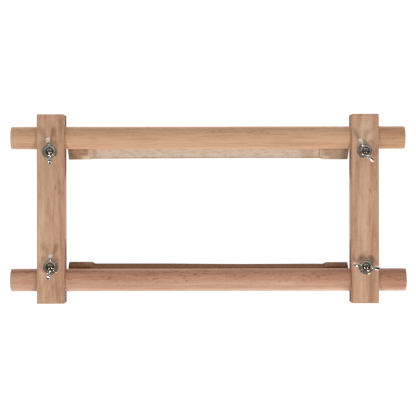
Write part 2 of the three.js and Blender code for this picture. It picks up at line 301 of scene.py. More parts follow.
def beech(name, grain, pith, light, middle, dark, seed, ring=2.6, streaks=(), spots=(), edge=None,
          ring_strength=0.16, broad_strength=0.75, narrow_strength=0.6, fleck_strength=0.45, fibre_strength=0.45,
          wave=0.0, fleck_size=1.0, flame=0.0, skew=0.0, narrow_along=0.03, figure=0.0, figure_at=None):
    """Solid beech: growth rings round a pith line, fibres and ray flecks drawn out along the grain, darker end grain.

    pith holds the two coordinates across the grain. A streak is (middle across the grain, half width, strength),
    and a spot is (along, across, half length, half width, strength, slope), all in millimetres. edge gives
    the block's half sizes across the grain and along it; with it the eased long edges get a painted highlight, and
    the kerfs and the rear jaws' sides beside them get painted shade. wave is how far the rings swing along the
    piece, which draws flames, and flame is how much the flecks gather in them.
    skew is the grain's run-out. figure is the strength of short dark strokes, which fade in across figure_at.
    """
    g = Graph(name)
    co = g.node("TexCoord")
    xyz = g.node("SeparateXYZ", {0: co.outputs["Object"]})
    x, y, z = xyz.outputs
    along, across = (x, y) if grain == "X" else (y, x)
    u, v, w = g.mul(along, 1000.0), g.mul(across, 1000.0), g.mul(z, 1000.0)
    su, sv, sw = g.add(u, seed * 131.7), g.add(v, seed * 57.3), g.add(w, seed * 83.9)

    # slow wander of the grain
    slow = g.noise(g.vector(g.mul(su, 0.0065), g.mul(sv, 0.03), g.mul(sw, 0.03)), detail=2.0)
    drift = g.add(g.mul(g.add(slow, -0.5), 9.0), g.mul(u, skew))
    v1, w1 = g.add(v, drift), g.add(w, g.mul(drift, 0.7))

    # growth rings
    dv, dw = g.add(v1, -pith[0]), g.add(w1, -pith[1])
    distance = g.math("SQRT", g.add(g.mul(dv, dv), g.mul(dw, dw)))
    ripple = g.noise(g.vector(g.mul(su, 0.018), g.mul(sv, 0.16), g.mul(sw, 0.16)), detail=3.0)
    distance = g.add(distance, g.mul(ripple, 2.2))
    swing = g.noise(g.vector(g.mul(su, 0.011), seed * 1.7, 0.0), detail=1.5, rough=0.4)
    distance = g.add(distance, g.mul(swing, wave))
    growth = g.noise(g.vector(g.mul(distance, 0.11), seed * 3.1, 0.0), detail=1.0)
    phase = g.math("FRACT", g.add(g.mul(distance, 1.0 / ring), g.mul(growth, 2.0)))
    late = g.math("SUBTRACT", g.step(phase, 0.35, 0.9), g.step(phase, 0.93, 1.0))

    # broad and narrow tone along the grain
    broad = g.noise(g.vector(g.mul(su, 0.0045), g.mul(g.add(sv, drift), 0.085), g.mul(sw, 0.085)), detail=3.0, rough=0.55)
    narrow = g.noise(g.vector(g.mul(su, narrow_along), g.mul(g.add(sv, drift), 0.52), g.mul(sw, 0.52)), detail=3.0, rough=0.6)
    fibre = g.noise(g.vector(g.mul(su, 0.09), g.mul(g.add(sv, drift), 4.2), g.mul(sw, 4.2)), detail=3.0, rough=0.65)

    tone = g.add(0.5, g.mul(g.add(broad, -0.5), broad_strength * 1.7))
    tone = g.add(tone, g.mul(g.add(narrow, -0.5), narrow_strength))
    tone = g.add(tone, g.mul(g.add(fibre, -0.5), fibre_strength))
    tone = g.add(tone, g.mul(late, -ring_strength))
    for middle_at, half, strength in streaks:
        off = g.math("ABSOLUTE", g.add(g.add(v1, g.mul(g.add(ripple, -0.5), 2.5)), -middle_at))
        tone = g.add(tone, g.mul(g.step(off, half, half * 0.15), strength))
    for s_along, s_across, half_along, half_across, strength, *slope in spots:
        from_u, from_v = g.add(u, -s_along), g.add(v, -s_across)
        if slope:
            from_v = g.add(from_v, g.mul(from_u, -slope[0]))
        a, b = g.mul(from_u, 1.0 / half_along), g.mul(from_v, 1.0 / half_across)
        r = g.math("SQRT", g.add(g.mul(a, a), g.mul(b, b)))
        tone = g.add(tone, g.mul(g.step(r, 1.0, 0.2), strength))
    if figure:
        stroke = g.noise(g.vector(g.mul(su, 0.15), g.mul(g.add(sv, drift), 0.52), g.mul(sw, 0.52)), detail=4.0, rough=0.68, distortion=0.45)
        gather = g.noise(g.vector(g.mul(su, 0.022), g.mul(sv, 0.13), g.mul(sw, 0.13)), detail=1.5)
        stroke = g.mul(g.step(stroke, 0.51, 0.68), g.step(gather, 0.40, 0.60, 0.25, 1.0))
        if figure_at:
            stroke = g.mul(stroke, g.step(g.add(v, g.mul(g.add(ripple, -0.5), 6.0)), figure_at[0], figure_at[1], 0.12, 1.0))
        tone = g.add(tone, g.mul(stroke, -figure))
    colour = g.ramp(tone, [(0.0, dark), (0.5, middle), (1.0, light)])

    # ray flecks: short dark spindles
    cells = g.node("TexVoronoi", {"Vector": g.vector(g.mul(su, 0.34), g.mul(g.add(sv, g.mul(drift, 0.5)), 2.4), g.mul(sw, 2.4)),
                                  "Scale": fleck_size, "Randomness": 1.0})
    pick = g.node("SeparateColor", {0: cells.outputs["Color"]})
    fleck = g.mul(g.step(cells.outputs["Distance"], 0.42, 0.16), g.step(pick.outputs[0], 0.45, 0.85))
    fleck = g.mul(fleck, g.add(1.0 - flame, g.mul(late, flame * 1.6)))
    colour = g.mix(g.mul(fleck, fleck_strength), colour, (*[c * k for c, k in zip(dark, (0.68, 0.56, 0.46))], 1.0))

    # end grain is darker and dotted with pores
    normal = g.node("SeparateXYZ", {0: co.outputs["Normal"]})
    facing = g.math("ABSOLUTE", normal.outputs[0 if grain == "X" else 1])
    end = g.step(facing, 0.55, 0.92)
    pores = g.node("TexVoronoi", {"Vector": g.vector(g.mul(su, 1.2), g.mul(sv, 3.4), g.mul(sw, 3.4)), "Scale": 1.0})
    pore = g.step(pores.outputs["Distance"], 0.3, 0.12)
    endwood = g.mix(g.mul(late, 0.55), (*[c * k for c, k in zip(middle, (0.80, 0.74, 0.68))], 1.0),
                    (*[c * k for c, k in zip(dark, (0.86, 0.78, 0.7))], 1.0))
    endwood = g.mix(g.mul(pore, 0.35), endwood, (*[c * 0.45 for c in dark], 1.0))
    colour = g.mix(end, colour, endwood)

    if edge:
        half_v, half_w, half_u, centre_v = edge
        ev = g.math("SUBTRACT", half_v, g.math("ABSOLUTE", g.add(v, -centre_v)))
        ew = g.math("SUBTRACT", half_w, g.math("ABSOLUTE", g.add(w, -MID_Z)))
        eu = g.math("SUBTRACT", half_u, g.math("ABSOLUTE", u))
        # painted highlight: the eased long edges are made paler, as where they catch the light; a noise makes it patchy
        patchy_noise = g.noise(g.vector(g.mul(su, 0.12), g.mul(sv, 0.4), g.mul(sw, 0.4)), detail=2.0)
        long_edge_highlight = g.mul(g.step(g.add(ev, ew), 2.6, 0.9), g.line(patchy_noise, 0.2, 0.8, 0.35, 1.0))
        colour = g.mix(g.mul(long_edge_highlight, 0.14), colour, (*[min(1.0, c * k) for c, k in zip(light, (1.12, 1.12, 1.1))], 1.0))
        # painted shade: the kerfs and the rear jaws' sides beside them are darkened where the slits shade them
        inner = g.mul(g.add(v, -centre_v), -1.0 if centre_v > 0 else 1.0)
        reach = g.math("ABSOLUTE", u)
        lower = g.mul(g.step(w, MID_Z + 3.0, MID_Z + 0.5, 0.15, 1.0), g.step(w, -2.0, 8.0, 0.5, 1.0))
        flank = g.math("ABSOLUTE", normal.outputs[0 if grain == "Y" else 1])
        kerf_shade = g.mul(g.mul(g.step(flank, 0.6, 0.9), lower), g.step(g.add(reach, g.mul(g.add(w, -MID_Z), 0.45)), 34.0, 40.0))
        kerf_shade = g.mul(kerf_shade, g.step(inner, -16.0, 16.0, 0.3, 1.0))
        # the kerf's own walls get the same painted shade
        kerf_gap_shade = g.mul(g.step(g.math("ABSOLUTE", g.add(w, -MID_Z)), 1.9, 1.6), g.step(reach, 44.0, 49.0))
        kerf_shade = g.math("MAXIMUM", kerf_shade, kerf_gap_shade)
        colour = g.mix(g.mul(kerf_shade, 0.88), colour, (*[c * k for c, k in zip(dark, (0.42, 0.20, 0.09))], 1.0))
        g.put(g.bsdf.inputs["Specular IOR Level"], g.line(kerf_shade, 0.0, 0.6, 0.34, 0.04))
        # a trace of dirt at the sawn ends
        end_edge = g.mul(g.step(eu, 1.6, 0.2), 0.35)
        colour = g.mix(end_edge, colour, (*[c * 0.7 for c in dark], 1.0))

    g.put(g.bsdf.inputs["Base Color"], colour)
    g.put(g.bsdf.inputs["Roughness"], g.line(g.add(fibre, g.mul(fleck, 0.5)), 0.2, 1.0, 0.46, 0.66))
    if not edge:
        g.bsdf.inputs["Specular IOR Level"].default_value = 0.32
    height = g.add(g.mul(fibre, 0.6), g.mul(fleck, -0.8))
    height = g.add(height, g.mul(late, 0.25))
    height = g.add(height, g.mul(g.mul(end, pore), -0.9))
    bump = g.node("Bump", {"Strength": 0.35, "Distance": 0.00018, "Height": height})
    g.put(g.bsdf.inputs["Normal"], bump.outputs[0])
    return g.material


def zinc(name, tint=(0.66, 0.645, 0.62), seed=0.0, rough=(0.16, 0.34)):
    """Bright zinc plating with faint spangle, dull patches and fine scratches; painted shade darkens the marked threads
    and bores.
    """
    g = Graph(name)
    co = g.node("TexCoord").outputs["Object"]
    moved = g.node("Mapping", {"Vector": co, "Location": (seed, seed * 0.7, seed * 0.3)}).outputs[0]
    cloud = g.noise(moved, 330.0, 4.0, 0.6)
    fine = g.noise(moved, 2600.0, 3.0, 0.6)
    spangle = g.node("TexVoronoi", {"Vector": moved, "Scale": 900.0})
    grain = g.node("SeparateColor", {0: spangle.outputs["Color"]}).outputs[0]
    shade = g.add(g.mul(g.add(cloud, -0.5), 0.5), g.mul(g.add(grain, -0.5), 0.10))
    colour = g.ramp(g.add(0.5, shade), [(0.2, tuple(c * 0.74 for c in tint)), (0.5, tint), (0.85, tuple(min(1, c * 1.2) for c in tint))])
    bore = g.node("Attribute", attribute_name="thread").outputs["Fac"]
    dull = g.step(cloud, 0.55, 0.8)
    colour = g.mix(g.mul(dull, 0.35), colour, (tint[0] * 0.66, tint[1] * 0.60, tint[2] * 0.52, 1.0))
    # painted shade in the marked threads and bore
    colour = g.mix(g.mul(bore, 0.10), colour, (0.09, 0.07, 0.052, 1.0))
    g.put(g.bsdf.inputs["Base Color"], colour)
    g.bsdf.inputs["Metallic"].default_value = 1.0
    g.put(g.bsdf.inputs["Roughness"], g.line(g.add(g.mul(fine, 0.5), g.mul(dull, 0.5)), 0.15, 0.75, rough[0], rough[1]))
    bump = g.node("Bump", {"Strength": 0.16, "Distance": 0.00008, "Height": g.add(fine, g.mul(cloud, 0.8))})
    g.put(g.bsdf.inputs["Normal"], bump.outputs[0])
    return g.material


def webbing(name, warp, weft, hem, hem_pale, seed, stain, mottle=0.55, bands=(), edge=0.75, right_pale=0.0):
    """Herringbone cotton webbing. The mesh carries its own flat coordinates: the distance from the nearer
    cut edge, the distance across from the stapled edge, and the share of hem. bands are soiled or pressed
    places across the tape, as (place along it, half width, strength)."""
    g = Graph(name)
    flat = g.node("Attribute", attribute_name="flat")
    uvh = g.node("SeparateXYZ", {0: flat.outputs["Vector"]})
    u, s, h = uvh.outputs
    # yarns: warp ends run along the tape, weft picks across it, in a point twill
    point = g.math("PINGPONG", s, 3.0)
    picks, ends = g.mul(u, 2.0 * math.pi / 0.62), g.mul(s, 2.0 * math.pi / 0.48)
    twill = g.math("SINE", g.mul(g.add(u, g.mul(point, 1.25)), 2.0 * math.pi / 1.5))
    warp_round = g.math("ABSOLUTE", g.math("COSINE", g.mul(ends, 0.5)))
    weft_round = g.math("ABSOLUTE", g.math("COSINE", g.mul(picks, 0.5)))
    over = g.step(twill, -0.35, 0.35)
    height = g.add(g.mul(over, warp_round), g.mul(g.math("SUBTRACT", 1.0, over), g.mul(weft_round, 0.8)))
    fuzz = g.noise(g.vector(g.mul(u, 1.7), g.mul(s, 3.3), seed), detail=4.0, rough=0.7)
    co = g.node("SeparateXYZ", {0: g.node("TexCoord").outputs["Object"]}).outputs
    x = g.mul(co[0], 1000.0)
    patch = g.noise(g.vector(g.mul(x, 0.11), g.mul(s, 0.22), seed + 4.0), detail=4.0, rough=0.6)
    colour = g.mix(over, (*weft, 1.0), (*warp, 1.0))
    # painted shade in the hollows between the yarns
    colour = g.mix(g.step(height, 0.45, 0.05, 0.0, 0.6), colour, (*[c * 0.45 for c in weft], 1.0))
    colour = g.mix(g.step(fuzz, 0.35, 0.75, 0.0, 0.28), colour, (*[min(1, c * 1.25) for c in warp], 1.0))
    colour = g.mix(g.step(patch, 0.42, 0.66, 0.0, mottle), colour, (*stain, 1.0))
    for at, half, strength in bands:
        off = g.math("ABSOLUTE", g.add(g.add(x, g.mul(g.add(patch, -0.5), 2.5)), -at))
        colour = g.mix(g.mul(g.step(off, half, half * 0.45), strength), colour, (*[c * k for c, k in zip(stain, (0.86, 0.74, 0.64))], 1.0))
    # the two selvedges are a little darker
    middle = g.math("ABSOLUTE", g.add(g.add(s, -15.0), g.mul(g.add(patch, -0.5), 1.6)))
    colour = g.mix(g.step(middle, 12.9, 14.3, 0.0, edge), colour, (*[c * k for c, k in zip(stain, (0.78, 0.58, 0.44))], 1.0))
    # the reverse shows on the folded hems
    patchy_noise = g.noise(g.vector(g.mul(u, 0.16), g.mul(s, 0.3), seed + 9.0), detail=4.0, rough=0.65)
    hem_tone = g.mix(g.step(patchy_noise, 0.3, 0.7), (*[c * 0.78 for c in hem], 1.0), (*[min(1, c * 1.3) for c in hem], 1.0))
    # painted shade in the hollows between the yarns of the hem
    hem_tone = g.mix(g.step(height, 0.5, 0.1, 0.0, 0.45), hem_tone, (*[c * 0.5 for c in hem], 1.0))
    # towards the hem's cut edge and the free selvedge the hem is paler; its darker part next to the arm and the roller
    # is painted shadow of them
    paler_share = g.mul(g.step(g.add(u, g.mul(g.add(patchy_noise, -0.5), 8.0)), 13.0, 5.0), g.step(g.add(s, g.mul(g.add(patchy_noise, -0.5), 5.0)), 21.0, 27.0))
    paler_share = g.math("MAXIMUM", paler_share, g.step(u, 2.4, 0.8, 0.0, 0.8))
    if right_pale:
        paler_share = g.math("MAXIMUM", paler_share, g.mul(g.step(x, 60.0, 100.0), right_pale))
    hem_tone = g.mix(paler_share, hem_tone, (*hem_pale, 1.0))
    colour = g.mix(h, colour, hem_tone)
    g.put(g.bsdf.inputs["Base Color"], colour)
    g.put(g.bsdf.inputs["Roughness"], g.line(fuzz, 0.2, 0.8, 0.82, 0.96))
    g.bsdf.inputs["Specular IOR Level"].default_value = 0.2
    g.bsdf.inputs["Sheen Weight"].default_value = 0.18
    g.bsdf.inputs["Sheen Roughness"].default_value = 0.5
    bump = g.node("Bump", {"Strength": 0.7, "Distance": 0.00022, "Height": g.add(height, g.mul(fuzz, 0.5))})
    g.put(g.bsdf.inputs["Normal"], bump.outputs[0])
    return g.material


def cotton_thread(name, colour, seed):
    """Loose ends of cotton yarn."""
    g = Graph(name)
    co = g.node("TexCoord").outputs["Object"]
    ply = g.noise(g.node("Mapping", {"Vector": co, "Location": (seed, 0, 0), "Scale": (900.0, 4200.0, 4200.0)}).outputs[0], 1.0, 3.0, 0.6)
    tone = g.ramp(ply, [(0.2, tuple(c * 0.62 for c in colour)), (0.55, colour), (0.9, tuple(min(1, c * 1.2) for c in colour))])
    g.put(g.bsdf.inputs["Base Color"], tone)
    g.put(g.bsdf.inputs["Roughness"], g.line(ply, 0.2, 0.8, 0.85, 0.95))
    g.bsdf.inputs["Specular IOR Level"].default_value = 0.2
    g.bsdf.inputs["Sheen Weight"].default_value = 0.2
    bump = g.node("Bump", {"Strength": 0.5, "Distance": 0.00008, "Height": ply})
    g.put(g.bsdf.inputs["Normal"], bump.outputs[0])
    return g.material


# ---------------------------------------------------------------------- colours

ARM_LIGHT, ARM_MID, ARM_DARK = srgb("DDBA9C"), srgb("CBA082"), srgb("AC8062")
TOP_LIGHT, TOP_MID, TOP_DARK = srgb("E7C19E"), srgb("D8AB87"), srgb("B88560")
LOW_LIGHT, LOW_MID, LOW_DARK = srgb("E3C4AA"), srgb("C7967A"), srgb("A06B4D")

wood_left = beech(
    "beech_left_arm", "Y", (-184.0, -52.0), ARM_LIGHT, ARM_MID, ARM_DARK, 1.3, ring=3.3, wave=16.0, flame=0.5,
    skew=0.045, narrow_along=0.045, narrow_strength=0.75, ring_strength=0.12, figure=0.3,
    streaks=[(-204.0, 2.6, 0.22), (-180.0, 2.4, -0.12)],
    # the spot at 84 mm along is partly a dark streak in the wood and partly painted shadow of the top-left wing nut
    spots=[(25.9, -184.0, 3.6, 1.7, -0.55), (84.0, -185.5, 30.0, 5.0, -0.28, -0.05), (98.0, -178.0, 20.0, 4.0, -0.22),
           (2.0, -186.0, 30.0, 1.2, -0.22, 0.06), (-6.0, -199.0, 34.0, 4.0, 0.18, 0.05), (-92.0, -190.0, 34.0, 18.0, -0.16)],
    edge=(16.5, 19.0, 114.3, -190.0))
wood_right = beech(
    "beech_right_arm", "Y", (214.0, -95.0), ARM_LIGHT, ARM_MID, ARM_DARK, 2.9, ring=2.8, wave=8.0,
    skew=-0.05, narrow_along=0.045, narrow_strength=0.62, ring_strength=0.12, figure=0.3,
    streaks=[(182.0, 3.5, 0.15), (200.5, 1.8, -0.10)],
    spots=[(21.7, 195.9, 4.2, 2.0, -0.5), (-8.0, 196.0, 14.0, 0.8, -0.35, 0.16), (90.0, 190.0, 34.0, 16.0, 0.44), (6.0, 190.0, 60.0, 20.0, 0.13), (-92.0, 190.0, 34.0, 18.0, -0.04)],
    edge=(16.5, 19.0, 114.3, 190.0))
wood_top = beech("beech_top_roller", "X", (70.0, 108.0), TOP_LIGHT, TOP_MID, TOP_DARK, 4.2, ring=2.7, wave=9.0,
                 ring_strength=0.10, broad_strength=0.5, narrow_strength=0.85, fibre_strength=0.5, fleck_strength=0.3,
                 fleck_size=0.7, flame=0.3, skew=0.008, narrow_along=0.024, figure=0.5, figure_at=(85.0, 93.0),
                 spots=[(226.0, 86.0, 34.0, 30.0, -0.27)])
wood_bottom = beech("beech_bottom_roller", "X", (-104.0, -46.0), LOW_LIGHT, LOW_MID, LOW_DARK, 6.6, ring=3.0, wave=5.0,
                    ring_strength=0.08, broad_strength=0.36, narrow_strength=0.50, fleck_strength=0.4, fibre_strength=0.5,
                    fleck_size=0.6, flame=0.5, narrow_along=0.04, figure=0.68, figure_at=(-92.0, -83.0),
                    streaks=[(-99.5, 8.0, 0.34), (-74.0, 8.0, -0.16)],
                    spots=[(-15.5, -79.5, 3.4, 1.4, -0.8), (232.0, -86.0, 34.0, 30.0, -0.19)])

# the warm tints are painted reflection of the wood round the metal, and the bolts' darker tint is painted shade
metal_bolt = zinc("zinc_bolts", tint=(0.46, 0.41, 0.35), seed=0.11, rough=(0.11, 0.19))
metal_washer = zinc("zinc_washers", tint=(0.56, 0.50, 0.425), seed=0.37, rough=(0.25, 0.35))
metal_nut = zinc("zinc_wing_nuts", tint=(0.76, 0.70, 0.63), seed=0.71, rough=(0.14, 0.22))
metal_staple = zinc("steel_staples", tint=(0.55, 0.55, 0.56), seed=0.93, rough=(0.25, 0.42))

cloth_top = webbing("cotton_webbing_top", srgb("ECD5BF"), srgb("DFC2AA"), srgb("AE8A6D"), srgb("E0C6A9"), 2.0, srgb("BC9875"),
                    mottle=0.42, right_pale=0.35, bands=[(-138.6, 3.9, 0.5), (121.0, 11.0, 0.35), (136.4, 1.4, 0.7)])
# painted shade: the bottom tape and its loose ends are the same cotton as the top's, coloured darker and browner for
# the shade they lie in
shaded_cloth_bottom = webbing("cotton_webbing_bottom_painted_shade", srgb("8F5D32"), srgb("82502C"), srgb("855634"), srgb("A37654"), 7.0, srgb("754927"))
thread_top = cotton_thread("cotton_ends_top", srgb("E6D4B8"), 1.0)
shaded_thread_bottom = cotton_thread("cotton_ends_bottom_painted_shade", srgb("B9967A"), 2.0)

# ------------------------------------------------------------------------- arms


def arc(cy, cz, r, start, stop, steps):
    """Points on a circle in the YZ plane, in degrees from +Y towards +Z."""
    return [(cy + r * math.cos(math.radians(start + (stop - start) * k / steps)),
             cz + r * math.sin(math.radians(start + (stop - start) * k / steps))) for k in range(steps + 1)]


def arm_outline():
    """Side view of an arm as one closed line: the slits lead the outline into the bores and the relief holes."""
    a = math.degrees(math.asin(SLIT_HALF / BORE_R))
    b = math.degrees(math.asin(SLIT_HALF / RELIEF_R))
    end = [(ARM_HALF_LENGTH, 0.0), (ARM_HALF_LENGTH, MID_Z - SLIT_HALF)]
    end += arc(ROLLER_Y, MID_Z, BORE_R, -a, -180 + a, 48)
    end += arc(RELIEF_Y, MID_Z, RELIEF_R, -b, -360 + b, 40)
    end += arc(ROLLER_Y, MID_Z, BORE_R, 180 - a, a, 48)
    end += [(ARM_HALF_LENGTH, MID_Z + SLIT_HALF), (ARM_HALF_LENGTH, ARM_THICKNESS)]
    return end + [(-y, z) for y, z in reversed(end)]


def make_arm(name, x_middle):
    line = arm_outline()
    n = len(line)
    points = [(x_middle + s * ARM_HALF_WIDTH, y, z) for s in (-1, 1) for y, z in line]
    faces = [tuple(range(n - 1, -1, -1)), tuple(range(n, 2 * n))]
    faces += [(k, (k + 1) % n, n + (k + 1) % n, n + k) for k in range(n)]
    obj = mesh_object(name, points, faces, smooth=False)
    outward(obj)

    # eased edges: wide on the long outer corners, slight at the ends and round the holes
    weight = obj.data.attributes.new("bevel_weight_edge", "FLOAT", "EDGE")
    co = np.array([v.co for v in obj.data.vertices]) / MM
    values = []
    for e in obj.data.edges:
        p, q = co[e.vertices[0]], co[e.vertices[1]]
        outer = all(min(abs(c[2]), abs(c[2] - ARM_THICKNESS)) < 1e-3 for c in (p, q))
        at_end = all(abs(abs(c[1]) - ARM_HALF_LENGTH) < 1e-3 for c in (p, q))
        along = abs(p[1] - q[1]) > 100
        across = abs(p[0] - q[0]) > 10
        if outer and along:
            values.append(1.0)
        elif at_end and across:
            values.append(0.42 if outer else 0.16)
        elif at_end:
            values.append(0.42)
        elif across:
            values.append(0.0)
        else:
            values.append(0.17)
    weight.data.foreach_set("value", values)
    bevel = obj.modifiers.new("ease", "BEVEL")
    bevel.limit_method, bevel.width, bevel.segments = "WEIGHT", 2.0 * MM, 4
    bevel.use_clamp_overlap = False
    bevel.miter_outer = "MITER_ARC"
    bake_modifiers(obj)

    for end in (1, -1):
        profile = [(BOLT_HOLE_R + 0.35, -0.2), (BOLT_HOLE_R, 0.35), (BOLT_HOLE_R, ARM_THICKNESS - 0.35),
                   (BOLT_HOLE_R + 0.55, ARM_THICKNESS + 0.2)]
        hole = lathe("hole", profile, 48)
        place(hole, Matrix.Translation(Vector((x_middle, end * BOLT_Y, 0)) * MM))
        boolean(obj, hole)
        recess = lathe("recess", [(RECESS_R + 0.6, -0.3), (RECESS_R, 0.3), (RECESS_R, RECESS_DEPTH - 0.3), (RECESS_R - 0.3, RECESS_DEPTH)], 64)
        place(recess, Matrix.Translation(Vector((x_middle, end * BOLT_Y, 0)) * MM))
        boolean(obj, recess)
        h = POCKET / 2
        z0, z1 = RECESS_DEPTH - 0.5, RECESS_DEPTH + POCKET_DEPTH
        pts = [(x, y, z) for z in (z0, z1) for x, y in ((-h, -h), (h, -h), (h, h), (-h, h))]
        pocket = outward(mesh_object("pocket", pts, [(0, 1, 2, 3), (4, 5, 6, 7), (0, 1, 5, 4), (1, 2, 6, 5), (2, 3, 7, 6), (3, 0, 4, 7)], smooth=False))
        place(pocket, Matrix.Translation(Vector((x_middle, end * BOLT_Y, 0)) * MM))
        boolean(obj, pocket)
    return crisp(obj, 30.0)


finish_piece(make_arm("arm_l", -ARM_X), "left_side_arm", "left_arm", wood_left)
finish_piece(make_arm("arm_r", ARM_X), "right_side_arm", "right_arm", wood_right)

# ---------------------------------------------------------------------- rollers


def make_roller(name, ends, y):
    h, r = (ends[1] - ends[0]) / 2, ROLLER_R
    rows = [(r - 1.35, -h)]
    rows += [(r - 1.35 + 1.35 * math.sin(t), -h + 1.1 * (1 - math.cos(t))) for t in np.linspace(0, math.pi / 2, 7)[1:]]
    for z in np.linspace(-h + 1.1, h - 1.1, 49)[1:-1]:
        rows.append((r, z))
    rows += [(r - 1.35 + 1.35 * math.cos(t), h - 1.1 + 1.1 * math.sin(t)) for t in np.linspace(0, math.pi / 2, 7)[:-1]]
    rows.append((r - 1.35, h))
    # a dowel is never quite round or straight
    def radius(q, z, a):
        return q - 0.035 * (1 - math.cos(2 * a + z * 0.004)) * (q / r)
    obj = lathe(name, rows, 128, radius)
    place(obj, Matrix.Translation(Vector(((ends[0] + ends[1]) / 2, y, MID_Z)) * MM) @ Matrix.Rotation(math.pi / 2, 4, "Y"))
    return crisp(obj, 40.0)


finish_piece(make_roller("roller_t", TOP_ROLLER, ROLLER_Y), "top_roller", "top_roller", wood_top)
finish_piece(make_roller("roller_b", BOTTOM_ROLLER, -ROLLER_Y), "bottom_roller", "bottom_roller", wood_bottom)

# ------------------------------------------------------------------------ tapes

TAPE_WIDTH = 30.0


def smooth(t):
    t = min(1.0, max(0.0, t))
    return t * t * (3 - 2 * t)


def section(s, band, band_r, slope, fold, curl=0.0):
    """Point, and normal towards the glued side, at s millimetres from the tape's stapled edge.

    The roller's axis is the origin, with its inner side towards -Y and its back towards -Z. fold gives how
    many degrees below the roller's inner side the tape is creased, and the crease's radius.
    """
    c, crease_r = math.radians(fold[0]), fold[1]
    out = (-math.cos(c), -math.sin(c))
    turn = math.radians(180 + slope) - (math.pi / 2 + c)
    crease = crease_r * turn
    if s <= band:
        a = c + (band - s) / band_r
        return (-band_r * math.cos(a), -band_r * math.sin(a)), (math.cos(a), math.sin(a))
    centre = (out[0] * (band_r + crease_r), out[1] * (band_r + crease_r))
    if s <= band + crease:
        heading = math.pi / 2 + c + (s - band) / crease_r
        left = (-math.sin(heading), math.cos(heading))
        return (centre[0] - crease_r * left[0], centre[1] - crease_r * left[1]), (-left[0], -left[1])
    heading = math.pi / 2 + c + turn
    left = (-math.sin(heading), math.cos(heading))
    p = [centre[0] - crease_r * left[0], centre[1] - crease_r * left[1]]
    d = s - band - crease
    # the free part bends a little along its width
    bend = curl * d * d
    return ((p[0] + d * math.cos(heading) + bend * left[0], p[1] + d * math.sin(heading) + bend * left[1]),
            (-left[0], -left[1]))


